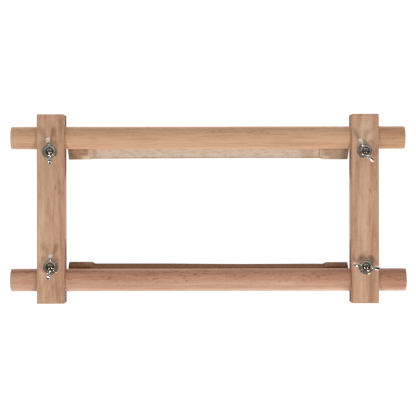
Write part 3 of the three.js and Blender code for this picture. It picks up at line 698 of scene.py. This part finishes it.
def make_tape(name, ends, band, fold, hems, slopes, seed):
    """A tape between two places along its roller, of which the width called band is stapled down.

    For each end hems gives the hem's length, the flap's slope there, the inward run of the free edge at
    the end and at the hem's cut edge, and the length over which the flap changes. slopes are the flap's
    at the left, in the middle and at the right.
    """
    rng = random.Random(seed)
    base_r = ROLLER_R + 0.12 + CLOTH / 2
    fold_r = LAYER / 2
    phases = [rng.uniform(0, 6.28) for _ in range(6)]
    start, stop = ends

    def shape(x):
        """Band radius, slope and curl at x."""
        plain = float(np.interp(x, (-130.0, 0.0, 130.0), slopes))
        for k, (wave, high) in enumerate(((0.021, 0.9), (0.047, 0.6), (0.11, 0.25))):
            plain += 0.55 * high * math.sin(wave * x + phases[k])
        lift, slope = 0.0, plain
        for side, edge, (length, hem_slope, _s0, _s1, run) in zip((-1, 1), ends, hems):
            inside = length - abs(edge - x)
            lift = max(lift, smooth(1 + inside / 4.0))
            slope += (hem_slope - plain) * smooth(1 + inside / run)
        return base_r + LAYER * lift, slope, 0.0012 * math.sin(0.03 * x + phases[3])

    def inward(x, free):
        """How far the free edge runs inward at x."""
        side = 0 if x < 0 else 1
        length, _slope, at_end, at_cut, _run = hems[side]
        far = abs(ends[side] - x)
        skew = at_end + (at_cut - at_end) * min(1.0, far / length)
        skew *= 1 - smooth((far - length) / 30.0)
        return (1 if side == 0 else -1) * skew * free

    # columns along the tape: (flat position, x, offset from the outer layer, hem share)
    columns = []
    left_length, right_length = hems[0][0], hems[1][0]
    flat = 0.0
    steps = 26
    for k in range(steps + 1):
        x = start + left_length - (left_length - fold_r) * k / steps
        columns.append([flat + (left_length - fold_r) * k / steps, x, LAYER, 1.0])
    flat += left_length - fold_r
    for k in range(1, 9):
        a = math.pi * k / 9
        columns.append([flat + fold_r * a, start + fold_r - fold_r * math.sin(a), fold_r + fold_r * math.cos(a), 1.0 - k / 9])
    flat += math.pi * fold_r
    span = stop - start - 2 * fold_r
    steps = 400
    for k in range(steps + 1):
        columns.append([flat + span * k / steps, start + fold_r + span * k / steps, 0.0, 0.0])
    flat += span
    for k in range(1, 9):
        a = math.pi * k / 9
        columns.append([flat + fold_r * a, stop - fold_r + fold_r * math.sin(a), fold_r - fold_r * math.cos(a), k / 9])
    flat += math.pi * fold_r
    steps = 26
    for k in range(steps + 1):
        x = stop - fold_r - (right_length - fold_r) * k / steps
        columns.append([flat + (right_length - fold_r) * k / steps, x, LAYER, 1.0])
    flat += right_length - fold_r

    rows = np.concatenate([np.linspace(0, band, 17), np.linspace(band, band + 2.6, 8)[1:], np.linspace(band + 2.6, TAPE_WIDTH, 17)[1:]])
    points, flats = [], []
    for at, x, offset, hem in columns:
        band_r, slope, curl = shape(x)
        side = -1 if x < 0 else 1
        for s in rows:
            scallop = 0.10 * math.sin(at * 2 * math.pi / 1.7) + 0.05 * math.sin(at * 2 * math.pi / 5.3 + 1.0)
            t = s
            if s == rows[0]:
                t = s - scallop
            elif s == rows[-1]:
                t = s + scallop
            p, n = section(t, band, band_r, slope, fold, curl)
            # a ragged edge where the hem was cut
            jag = 0.0
            if at == columns[0][0] or at == columns[-1][0]:
                jag = side * (0.35 * math.sin(s * 2.9 + phases[4]) + 0.25 * math.sin(s * 7.3 + phases[5]))
            free = max(0.0, s - band) / (TAPE_WIDTH - band)
            points.append((x + inward(x, free) + jag, p[0] + n[0] * offset, p[1] + n[1] * offset))
            flats.append((min(at, flat - at), s, hem))
    m = len(rows)
    faces = [(i * m + j, (i + 1) * m + j, (i + 1) * m + j + 1, i * m + j + 1)
             for i in range(len(columns) - 1) for j in range(m - 1)]
    obj = mesh_object(name, points, faces)
    attribute = obj.data.attributes.new("flat", "FLOAT_VECTOR", "POINT")
    attribute.data.foreach_set("vector", np.array(flats, np.float32).ravel())
    thick = obj.modifiers.new("thick", "SOLIDIFY")
    thick.thickness, thick.offset = CLOTH * MM, 0.0
    thick.use_even_offset = False
    bevel = obj.modifiers.new("round", "BEVEL")
    bevel.limit_method, bevel.angle_limit = "ANGLE", math.radians(60)
    bevel.width, bevel.segments = 0.22 * MM, 2
    bake_modifiers(obj)
    outward(obj)
    crisp(obj, 70.0, weighted=False)

    # loose ends of the warp at the two cut edges
    strands, strand_faces = [], []

    def strand(line, r):
        base, sides = len(strands), 5
        for i, p in enumerate(line):
            d = np.array(line[min(i + 1, len(line) - 1)]) - np.array(line[max(i - 1, 0)])
            d = d / np.linalg.norm(d)
            e1 = np.cross(d, (0.0, 0.0, 1.0))
            e1 = e1 / np.linalg.norm(e1)
            e2 = np.cross(d, e1)
            q = r * (0.45 if i == len(line) - 1 else 1.0)
            for k in range(sides):
                a = 2 * math.pi * k / sides
                strands.append(tuple(np.array(p) + q * (math.cos(a) * e1 + math.sin(a) * e2)))
        for i in range(len(line) - 1):
            for k in range(sides):
                l = (k + 1) % sides
                strand_faces.append((base + i * sides + k, base + i * sides + l, base + (i + 1) * sides + l, base + (i + 1) * sides + k))
        strand_faces.append(tuple(base + k for k in range(sides))[::-1])
        last = base + (len(line) - 1) * sides
        strand_faces.append(tuple(last + k for k in range(sides)))

    for side, edge, hem in zip((-1, 1), ends, hems):
        s = 0.5
        while s < TAPE_WIDTH - 0.3:
            reach = rng.uniform(0.5, 1.7)
            drop = rng.uniform(0.25, 0.75)
            lean = rng.uniform(-0.9, 0.9)
            line = []
            for k in range(6):
                t = k / 5
                x = edge - side * (hem[0] - 0.9 + (reach + 0.9) * t)
                band_r, slope, curl = shape(x)
                p, n = section(min(TAPE_WIDTH, max(0.0, s + lean * t * t)), band, band_r, slope, fold, curl)
                offset = LAYER + (CLOTH * 0.05) - t * t * (LAYER - CLOTH / 2 - 0.18) * drop
                free = max(0.0, s - band) / (TAPE_WIDTH - band)
                line.append((x + inward(x, free), p[0] + n[0] * offset, p[1] + n[1] * offset))
            strand(line, rng.uniform(0.12, 0.2))
            s += rng.uniform(0.45, 0.8)
    fray = outward(mesh_object(name + "_ends", strands, strand_faces))
    return obj, fray, flat


def roller_matrix(y, turn, mirror):
    m = Matrix.Translation(Vector((0, y, MID_Z)) * MM)
    if mirror:
        return m @ Matrix.Rotation(-math.radians(turn), 4, "X") @ Matrix.Rotation(math.pi, 4, "Z")
    return m @ Matrix.Rotation(math.radians(turn), 4, "X")


tape_t, fray_t, flat_t = make_tape(
    "tape_t", TOP_TAPE, 15.5, (30.0, 1.2), [(25.1, 39.1, 0.4, 1.8, 3.0), (31.0, 38.6, 0.9, 0.2, 3.0)], (33.4, 39.5, 37.0), 5)
# the bottom roller faces the other way, so its tape's right end comes first
tape_b, fray_b, flat_b = make_tape(
    "tape_b", (-BOTTOM_TAPE[1], -BOTTOM_TAPE[0]), 16.8, (31.0, 1.2),
    [(26.5, 66.0, 0.2, 0.6, 14.0), (28.3, 59.0, 0.1, 0.3, 2.5)], (65.0, 64.0, 60.0), 11)

for tape, fray, y, turn, mirror, word, cloth, thread, long in (
    (tape_t, fray_t, ROLLER_Y, 0.0, False, "top", cloth_top, thread_top, flat_t),
    (tape_b, fray_b, -ROLLER_Y, BOTTOM_TURN, True, "bottom", shaded_cloth_bottom, shaded_thread_bottom, flat_b),
):
    matrix = roller_matrix(y, turn, mirror)
    place(tape, matrix)
    place(fray, matrix)
    finish_piece(tape, word + "_tape", word + "_roller", cloth)
    fray.name = fray.data.name = "seen_" + word + "_tape_loose_ends"
    fray.data.materials.append(thread)
    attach(fray, word + "_roller")

# ---------------------------------------------------------------------- staples


def make_staple(name, lift):
    """A wire staple whose crown faces +Y, drawn along X, before its turn round the roller."""
    c, wire_y, wire_z = STAPLE_CROWN / 2 - 0.35, 0.35, 0.6
    seat = ROLLER_R + 0.12 + 1.2 + SEAT + lift
    y = seat + wire_y
    foot = seat - 8.0
    bend = 0.75
    line = [(-c, foot), (-c, foot + 1.0), (-c, (foot + y) / 2), (-c, y - bend)]
    line += [(-c + bend * (1 - math.cos(t)), y - bend + bend * math.sin(t)) for t in np.linspace(0, math.pi / 2, 6)[1:]]
    # the crown is pressed slightly hollow
    line += [(x, y - 0.06 * (1 - (x / c) ** 2)) for x in np.linspace(-c + bend, c - bend, 9)[1:-1]]
    line += [(c - bend * (1 - math.cos(t)), y - bend + bend * math.sin(t)) for t in np.linspace(math.pi / 2, 0, 6)[:-1]]
    line += [(c, y - bend), (c, (foot + y) / 2), (c, foot + 1.0), (c, foot)]
    ring = []
    for k in range(16):
        a = 2 * math.pi * k / 16
        ca, sa = math.cos(a), math.sin(a)
        ring.append((wire_y * math.copysign(abs(ca) ** 0.5, ca), wire_z * math.copysign(abs(sa) ** 0.5, sa)))
    points, faces = [], []
    for i, p in enumerate(line):
        d = np.array(line[min(i + 1, len(line) - 1)]) - np.array(line[max(i - 1, 0)])
        d = d / np.linalg.norm(d)
        side = np.array((d[1], -d[0]))
        thin = 0.25 if i in (0, len(line) - 1) else 1.0
        for q, w in ring:
            points.append((p[0] + side[0] * q * thin, p[1] + side[1] * q * thin, w))
    for i in range(len(line) - 1):
        for k in range(16):
            l = (k + 1) % 16
            faces.append((i * 16 + k, i * 16 + l, (i + 1) * 16 + l, (i + 1) * 16 + k))
    faces += [tuple(range(16)), tuple(range((len(line) - 1) * 16, len(line) * 16))]
    return outward(mesh_object(name, points, faces))


for word, y, turn, mirror in (("top", ROLLER_Y, 0.0, False), ("bottom", -ROLLER_Y, BOTTOM_TURN, True)):
    for i in range(STAPLES):
        x = (i - (STAPLES - 1) / 2) * STAPLE_PITCH
        on_hem = abs(x) > 146.0
        staple = make_staple("staple", LAYER - 0.05 if on_hem else -0.06)
        turned = Matrix.Rotation(math.pi + math.radians(STAPLE_ANGLE), 4, "X")
        shift = Matrix.Translation(Vector((x, 0, 0)) * MM)
        place(staple, roller_matrix(y, turn, mirror) @ shift @ turned)
        number = STAPLES - i if mirror else i + 1
        finish_piece(staple, f"{word}_staple_{number}", word + "_roller", metal_staple)

# --------------------------------------------------------------- bolts, washers


def thread_depth(z, angle, pitch=1.0):
    """0 at the crest and 1 at the root of a right-hand thread, with small flats on both."""
    t = (z / pitch - angle / (2 * math.pi)) % 1.0
    t = abs(t - 0.5) * 2
    return min(1.0, max(0.0, (t - 0.12) / 0.7))


def make_bolt():
    rows = [(0.8, HEAD_TOP_Z), (2.2, HEAD_TOP_Z + 0.10), (3.6, HEAD_TOP_Z + 0.32), (5.0, HEAD_TOP_Z + 0.72), (6.3, HEAD_TOP_Z + 1.28),
            (7.3, HEAD_TOP_Z + 1.95), (7.95, HEAD_TOP_Z + 2.6), (8.2, HEAD_TOP_Z + 3.05), (HEAD_R, HEAD_TOP_Z + 3.25),
            (8.2, HEAD_UNDER_Z - 0.08), (8.0, HEAD_UNDER_Z), (SHANK_R, HEAD_UNDER_Z)]
    start = 24.0
    rows += [(SHANK_R, z) for z in np.linspace(HEAD_UNDER_Z, start, 5)[1:]]
    step = 0.125
    z = start + step
    while z < BOLT_END_Z - 0.95:
        rows.append((SHANK_R, z))
        z += step
    rows += [(SHANK_R, BOLT_END_Z - drop) for drop in (0.8, 0.65, 0.5, 0.42, 0.34, 0.26, 0.24, 0.18, 0.1, 0.03)]
    rows += [(1.95, BOLT_END_Z), (1.75, BOLT_END_Z)]

    def radius(r, z, angle):
        if z < start:
            return r
        grow = min(1.0, (z - start) / 1.5)
        q = SHANK_R - 0.42 * grow * thread_depth(z, angle)
        # chamfered point
        drop = BOLT_END_Z - z
        return min(r, q, 2.1 + drop * 2.55 if drop < 0.25 else 2.49 + drop)

    obj = lathe("bolt", rows, 64, radius)
    h = NECK / 2
    r = 0.25
    corners = []
    for sx, sy in ((1, 1), (-1, 1), (-1, -1), (1, -1)):
        a0 = {(1, 1): 0, (-1, 1): 90, (-1, -1): 180, (1, -1): 270}[(sx, sy)]
        for k in range(4):
            a = math.radians(a0 + 30 * k)
            corners.append((sx * (h - r) + r * math.cos(a), sy * (h - r) + r * math.sin(a)))
    n = len(corners)
    top = HEAD_UNDER_Z + NECK_DEPTH
    pts = [(x, y, HEAD_UNDER_Z - 0.6) for x, y in corners] + [(x, y, top - 0.6) for x, y in corners]
    pts += [(x * 0.86, y * 0.86, top) for x, y in corners]
    faces = [tuple(range(n - 1, -1, -1)), tuple(range(2 * n, 3 * n))]
    for level in (0, 1):
        faces += [(level * n + k, level * n + (k + 1) % n, (level + 1) * n + (k + 1) % n, (level + 1) * n + k) for k in range(n)]
    neck = outward(mesh_object("neck", pts, faces, smooth=False))
    boolean(obj, neck, "UNION")
    mark_painted_shade(obj, lambda r, z: 1.0 if 24.0 < z < BOLT_END_Z - 0.75 and r > 2.2 else 0.0)
    return crisp(obj, 38.0)


def mark_painted_shade(obj, shaded):
    """Marks the points that the given test of (r, z) picks, in the piece's own frame, for the painted shade in threads
    and bores.
    """
    co = np.array([v.co for v in obj.data.vertices]) / MM
    mark = obj.data.attributes.new("thread", "FLOAT", "POINT")
    mark.data.foreach_set("value", np.array([shaded(math.hypot(x, y), z) for x, y, z in co], np.float32))
    return obj


def make_washer():
    r0, r1, t = WASHER_HOLE_R, WASHER_R, WASHER_T
    # the punched rim is drawn down a little on the front
    line = rounded([(r0 + 0.5, 0), (r1, 0), (r1, t - 0.22), (r1 - 0.18, t - 0.07), (r1 - 0.50, t), (r0, t), (r0, 0), (r0 + 0.5, 0)],
                   [0, 0.16, 0.08, 0.04, 0.04, 0.22, 0.16, 0], 4)
    obj = lathe("washer", line[:-1], 96, close="ring")
    return crisp(obj, 50.0)


# -------------------------------------------------------------------- wing nuts


def surface(field, low, step):
    """Closed mesh of the points where a sampled field is below zero, one vertex in each cut cell."""
    inside = field < 0
    cells = tuple(n - 1 for n in field.shape)
    total, count = np.zeros(cells + (3,)), np.zeros(cells)
    crossings = []
    for axis in range(3):
        a = np.take(field, range(field.shape[axis] - 1), axis)
        b = np.take(field, range(1, field.shape[axis]), axis)
        hit = np.argwhere((a < 0) != (b < 0))
        fa, fb = a[tuple(hit.T)], b[tuple(hit.T)]
        where = hit.astype(float)
        where[:, axis] += fa / (fa - fb)
        others = [k for k in range(3) if k != axis]
        for d1 in (0, 1):
            for d2 in (0, 1):
                cell = hit.copy()
                cell[:, others[0]] -= d1
                cell[:, others[1]] -= d2
                np.add.at(total, tuple(cell.T), where)
                np.add.at(count, tuple(cell.T), 1)
        crossings.append((axis, others, hit, fa < 0))
    used = np.argwhere(count > 0)
    number = -np.ones(cells, int)
    number[tuple(used.T)] = np.arange(len(used))
    points = total[tuple(used.T)] / count[tuple(used.T)][:, None] * step + np.array(low)
    faces = []
    for axis, others, hit, first_in in crossings:
        corner = []
        for d1, d2 in ((0, 0), (1, 0), (1, 1), (0, 1)):
            cell = hit.copy()
            cell[:, others[0]] -= d1
            cell[:, others[1]] -= d2
            corner.append(number[tuple(cell.T)])
        quad = np.stack(corner, 1)
        flip = first_in if axis != 1 else ~first_in
        quad[flip] = quad[flip][:, ::-1]
        faces.append(quad)
    return points, np.concatenate(faces)


def polygon_distance(x, z, line):
    """Signed distance to a closed outline, negative inside."""
    line = np.array(line, float)
    best = np.full(x.shape, 1e9)
    inside = np.zeros(x.shape, bool)
    for i in range(len(line)):
        a, b = line[i], line[(i + 1) % len(line)]
        e = b - a
        wx, wz = x - a[0], z - a[1]
        t = np.clip((wx * e[0] + wz * e[1]) / (e @ e), 0, 1)
        best = np.minimum(best, (wx - e[0] * t) ** 2 + (wz - e[1] * t) ** 2)
        crosses = ((a[1] <= z) & (b[1] > z)) | ((b[1] <= z) & (a[1] > z))
        side = e[0] * wz - e[1] * wx
        inside ^= crosses & np.where(b[1] > a[1], side > 0, side < 0)
    return np.where(inside, -1, 1) * np.sqrt(best)


def wing_line():
    lobe, reach, rise = (9.7, 12.0), 6.4, 4.3
    line = [(2.0, 1.4), (5.4, 1.5), (6.8, 1.9), (8.2, 2.7), (9.7, 3.8), (11.1, 5.1), (12.6, 6.5), (14.0, 8.0), (15.0, 9.4)]
    line += [(lobe[0] + reach * math.cos(math.radians(a)), lobe[1] + rise * math.sin(math.radians(a))) for a in np.linspace(-22, 88, 22)]
    line += [(9.55, 16.0), (9.3, 15.6), (9.25, 14.0), (9.2, 12.0), (9.1, 10.6), (8.95, 9.3), (8.6, 8.3), (8.1, 7.85), (7.4, 7.72), (5.5, 7.7), (4.0, 7.4), (2.0, 7.0)]
    return line


def nut_field(p):
    """Distance to the wing nut's blank, which stands on z = 0 with its wings along X."""
    x, y, z = np.abs(p[..., 0]), p[..., 1], p[..., 2]
    rho = np.hypot(p[..., 0], y)
    slant = 1.0 / 8.0
    side = (rho - (6.9 - slant * np.clip(z, 0, 8))) * math.cos(math.atan(slant))
    r = 0.35
    a, b = side + r, np.maximum(z - NUT_HUB_H, -z) + r
    hub = np.hypot(np.maximum(a, 0), np.maximum(b, 0)) + np.minimum(np.maximum(a, b), 0) - r
    k = np.clip((x - 8.0) / 2.0, 0, 1)
    k = k * k * (3 - 2 * k)
    # the lobes are fullest at their middle
    half = 1.0 + 1.15 * k
    r = half * (0.85 - 0.35 * k)
    flat = polygon_distance(x, z, wing_line())
    a, b = flat + r, np.abs(y) - half + r
    wing = np.hypot(np.maximum(a, 0), np.maximum(b, 0)) + np.minimum(np.maximum(a, b), 0) - r
    blend = 0.9
    h = np.clip(0.5 + 0.5 * (wing - hub) / blend, 0, 1)
    return wing * (1 - h) + hub * h - blend * h * (1 - h)


def make_nut():
    step = 0.3
    low, high = np.array((-17.1, -7.5, -0.75)), np.array((17.1, 7.5, 18.0))
    size = np.ceil((high - low) / step).astype(int) + 1
    grid = np.stack(np.meshgrid(*[low[i] + step * np.arange(size[i]) for i in range(3)], indexing="ij"), -1)
    points, faces = surface(nut_field(grid), low, step)
    # settle the vertices on the true surface
    for _ in range(3):
        value = nut_field(points)
        e = 0.05
        slope = np.stack([(nut_field(points + d) - nut_field(points - d)) / (2 * e) for d in np.eye(3) * e], -1)
        size2 = np.maximum((slope ** 2).sum(-1), 0.25)
        points = points - np.clip(value / size2, -0.12, 0.12)[:, None] * slope
    points[:, 2] = np.maximum(points[:, 2], 0.0)
    obj = outward(mesh_object("nut", points, [tuple(int(v) for v in f) for f in faces]))

    # tapped bore with a countersunk mouth
    rows = [(4.3, -0.6), (3.3, 0.35)]
    z = 0.45
    while z < NUT_HUB_H - 2.65:
        rows.append((3.06, z))
        z += 0.125
    rows += [(3.2, NUT_HUB_H - 2.4), (3.62, NUT_HUB_H - 1.7), (4.5, NUT_HUB_H - 0.25), (5.05, NUT_HUB_H + 0.3), (4.95, NUT_HUB_H + 3.0)]

    def radius(r, z, angle):
        if r != 3.06:
            return r
        fade = min(1.0, (z - 0.4) / 0.6, (NUT_HUB_H - 2.6 - z) / 0.6)
        return 3.06 + 0.36 * max(0.0, fade) * (1 - thread_depth(z, angle))

    boolean(obj, lathe("tap", rows, 72, radius))
    mark_painted_shade(obj, lambda r, z: 1.0 if r < 4.42 and z < NUT_HUB_H - 0.2 else 0.0)
    return crisp(obj, 36.0, weighted=False)


bolt, washer, nut = make_bolt(), make_washer(), make_nut()

for corner, (side, end, turn, bolt_off, off) in CORNERS.items():
    arm_body = "left_arm" if side < 0 else "right_arm"
    centre = Vector((side * ARM_X, end * BOLT_Y, 0)) * MM
    for made, node, body, material, matrix in (
        (bolt, "_coach_bolt", arm_body, metal_bolt, Matrix.Translation(centre + Vector((bolt_off[0], bolt_off[1], 0)) * MM)),
        (washer, "_washer", corner + "_washer", metal_washer,
         Matrix.Translation(centre + Vector((off[0], off[1], ARM_THICKNESS + SEAT)) * MM)),
        (nut, "_wing_nut", corner + "_wing_nut", metal_nut,
         Matrix.Translation(centre + Vector((bolt_off[0], bolt_off[1], ARM_THICKNESS + WASHER_T + 2 * SEAT)) * MM)
         @ Matrix.Rotation(math.radians(turn), 4, "Z")),
    ):
        piece = bpy.data.objects.new(corner + node, made.data.copy())
        bpy.context.scene.collection.objects.link(piece)
        place(piece, matrix)
        finish_piece(piece, corner + node, body, material)
for made in (bolt, washer, nut):
    bpy.data.objects.remove(made)

# -------------------------------------------------------- floor, light and camera

floor_mesh = bpy.data.meshes.new("studio_floor")
s = 30.0
floor_mesh.from_pydata([(-s, -s, -0.0006), (s, -s, -0.0006), (s, s, -0.0006), (-s, s, -0.0006)], [], [(0, 1, 2, 3)])
floor = bpy.data.objects.new("studio_floor", floor_mesh)
bpy.context.scene.collection.objects.link(floor)
paper = bpy.data.materials.new("studio_paper")
paper.use_nodes = True
tree = paper.node_tree
tree.nodes.clear()
out = tree.nodes.new("ShaderNodeOutputMaterial")
glow = tree.nodes.new("ShaderNodeEmission")
glow.inputs[0].default_value = (1.0, 1.0, 1.0, 1.0)
glow.inputs[1].default_value = 1.0
matt = tree.nodes.new("ShaderNodeBsdfDiffuse")
matt.inputs[0].default_value = (0.12, 0.12, 0.12, 1.0)
both = tree.nodes.new("ShaderNodeAddShader")
tree.links.new(glow.outputs[0], both.inputs[0])
tree.links.new(matt.outputs[0], both.inputs[1])
tree.links.new(both.outputs[0], out.inputs[0])
floor.data.materials.append(paper)
floor.visible_diffuse = False
floor.visible_glossy = False


def area_light(name, azimuth, elevation, distance, size, power, colour=(1.0, 1.0, 1.0)):
    """Azimuth is measured from -Y towards +X."""
    data = bpy.data.lights.new(name, "AREA")
    data.shape, data.size, data.energy, data.color = "DISK", size, power, colour
    obj = bpy.data.objects.new(name, data)
    a, e = math.radians(azimuth), math.radians(elevation)
    direction = Vector((math.sin(a) * math.cos(e), -math.cos(a) * math.cos(e), math.sin(e)))
    obj.location = direction * distance
    obj.rotation_mode = "QUATERNION"
    obj.rotation_quaternion = direction.to_track_quat("Z", "Y")
    bpy.context.scene.collection.objects.link(obj)
    return obj


area_light("soft_light_left", -32.0, 47.0, 1.9, 0.36, 12.6)
area_light("soft_light_right", 32.0, 47.0, 1.9, 0.36, 13.1)
area_light("soft_light_low", 33.0, 14.0, 1.9, 0.6, 6.0)

DIM, WALL, TABLE = 0.06, 0.94, (1.95, 2.2)
world = bpy.data.worlds.new("studio")
bpy.context.scene.world = world
world.use_nodes = True
tree = world.node_tree
tree.nodes.clear()
out = tree.nodes.new("ShaderNodeOutputWorld")
back = tree.nodes.new("ShaderNodeBackground")
co = tree.nodes.new("ShaderNodeTexCoord")
sep = tree.nodes.new("ShaderNodeSeparateXYZ")
tree.links.new(co.outputs["Generated"], sep.inputs[0])


def sky_step(value, low, high, to_low, to_high):
    n = tree.nodes.new("ShaderNodeMapRange")
    n.interpolation_type = "SMOOTHSTEP"
    tree.links.new(value, n.inputs[0])
    for i, v in zip((1, 2, 3, 4), (low, high, to_low, to_high)):
        n.inputs[i].default_value = v
    return n.outputs[0]


def sky_math(operation, a, b):
    n = tree.nodes.new("ShaderNodeMath")
    n.operation = operation
    for i, v in enumerate((a, b)):
        if isinstance(v, bpy.types.NodeSocket):
            tree.links.new(v, n.inputs[i])
        else:
            n.inputs[i].default_value = v
    return n.outputs[0]


# a pale table below, a white wall behind the top of the frame and a dark room in front
room = sky_step(sep.outputs[1], -0.14, 0.47, DIM, WALL)
below = sky_step(sep.outputs[2], -0.50, -0.04, 1.0, 0.0)
table = sky_step(sep.outputs[1], -0.5, 0.5, *TABLE)
table = sky_math("MULTIPLY", table, sky_step(sky_math("ABSOLUTE", sep.outputs[1], 0.0), 0.05, 0.55, 0.4, 1.0))
total = sky_math("ADD", sky_math("MULTIPLY", below, table), sky_math("MULTIPLY", sky_math("SUBTRACT", 1.0, below), room))
tree.links.new(total, back.inputs[1])
tree.links.new(back.outputs[0], out.inputs[0])

camera_data = bpy.data.cameras.new("camera")
camera_data.lens = 146.8
camera_data.sensor_width = 36.0
camera_data.sensor_fit = "HORIZONTAL"
camera_data.clip_start, camera_data.clip_end = 0.05, 60.0
camera = bpy.data.objects.new("camera", camera_data)
camera.location = (0.00012, 0.00095, 2.084)
camera.rotation_euler = (0.0, 0.0, -math.radians(0.10))
bpy.context.scene.collection.objects.link(camera)
bpy.context.scene.camera = camera

bpy.context.scene.view_settings.view_transform = "Standard"
bpy.context.scene.view_settings.look = "None"
bpy.context.scene.view_settings.exposure = 0.0
bpy.context.scene.view_settings.gamma = 1.0
